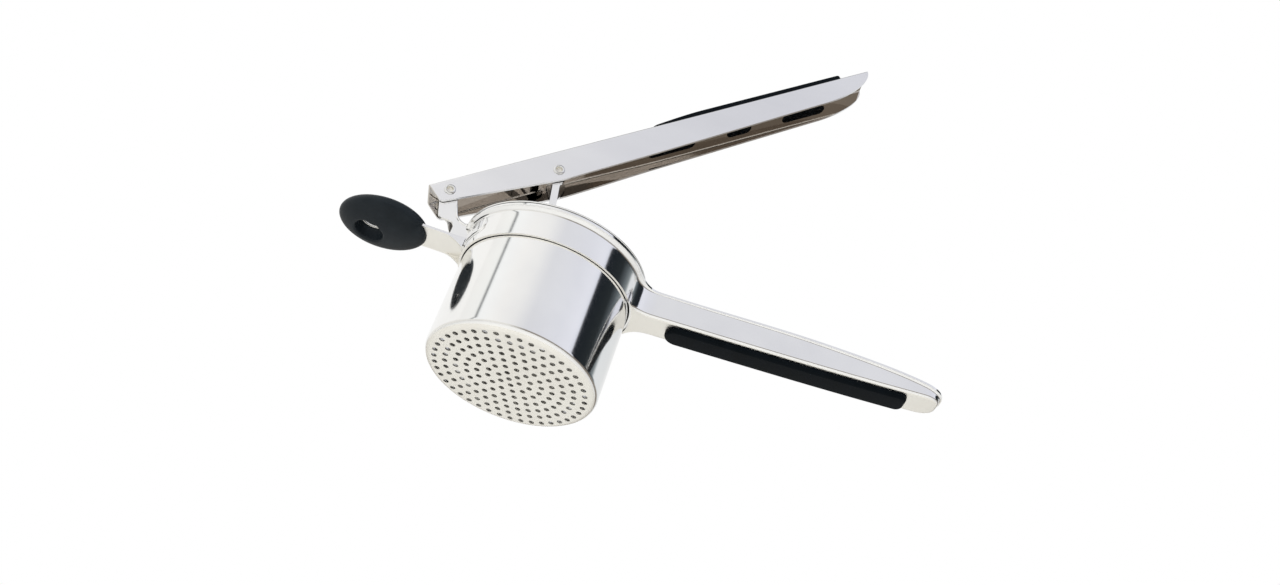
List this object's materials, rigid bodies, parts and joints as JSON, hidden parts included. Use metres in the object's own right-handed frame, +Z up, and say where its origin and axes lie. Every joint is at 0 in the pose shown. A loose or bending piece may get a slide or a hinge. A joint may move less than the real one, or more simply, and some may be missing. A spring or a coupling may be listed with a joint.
{
  "type": "potato ricer",
  "caption": "Two-handled steel potato ricer: perforated hopper in a long-handled frame, lever-driven plunger, soft grips and a front rest knob.",
  "frame": {"origin": "bottom centre of the whole object's box, level with the hopper's perforated base", "axes": "+X along the handles from the front knob to the handle tips, +Y across the tool, +Z up the hopper's axis"},
  "size_m": [0.2896, 0.088, 0.2403],
  "materials": {
    "polished_steel": "mirror-polished stainless steel sheet",
    "satin_steel": "satin stainless steel on the hopper and the plunger",
    "soft_black": "matt soft-touch elastomer",
    "rivet_steel": "bright rolled rivet"
  },
  "bodies": {
    "root": {"hopper": "polished_steel", "frame": "polished_steel", "pivot_bracket": "polished_steel", "rest_arm": "polished_steel", "rest_knob": "soft_black", "lower_grip": "soft_black", "pivot_rivet": "rivet_steel"},
    "lever": {"upper_handle": "polished_steel", "upper_grip": "soft_black", "plunger_rivet": "rivet_steel"},
    "plunger": {"plunger_stem": "polished_steel", "plunger_disc": "satin_steel"}
  },
  "joints": [
    {"name": "lever_hinge", "type": "hinge", "parent": "root", "child": "lever", "pos_m": [-0.10078, 0, 0.0805], "axis": [0, -1, 0], "range_deg": [-40, 8]},
    {"name": "plunger_hinge", "type": "hinge", "parent": "lever", "child": "plunger", "pos_m": [-0.05717, 0, 0.11193], "axis": [0, -1, 0], "range_deg": [-6.14, 30.62]}
  ],
  "couplings": [
    {"joint": "plunger_hinge", "follows": "lever_hinge", "ratio": -0.765}
  ]
}
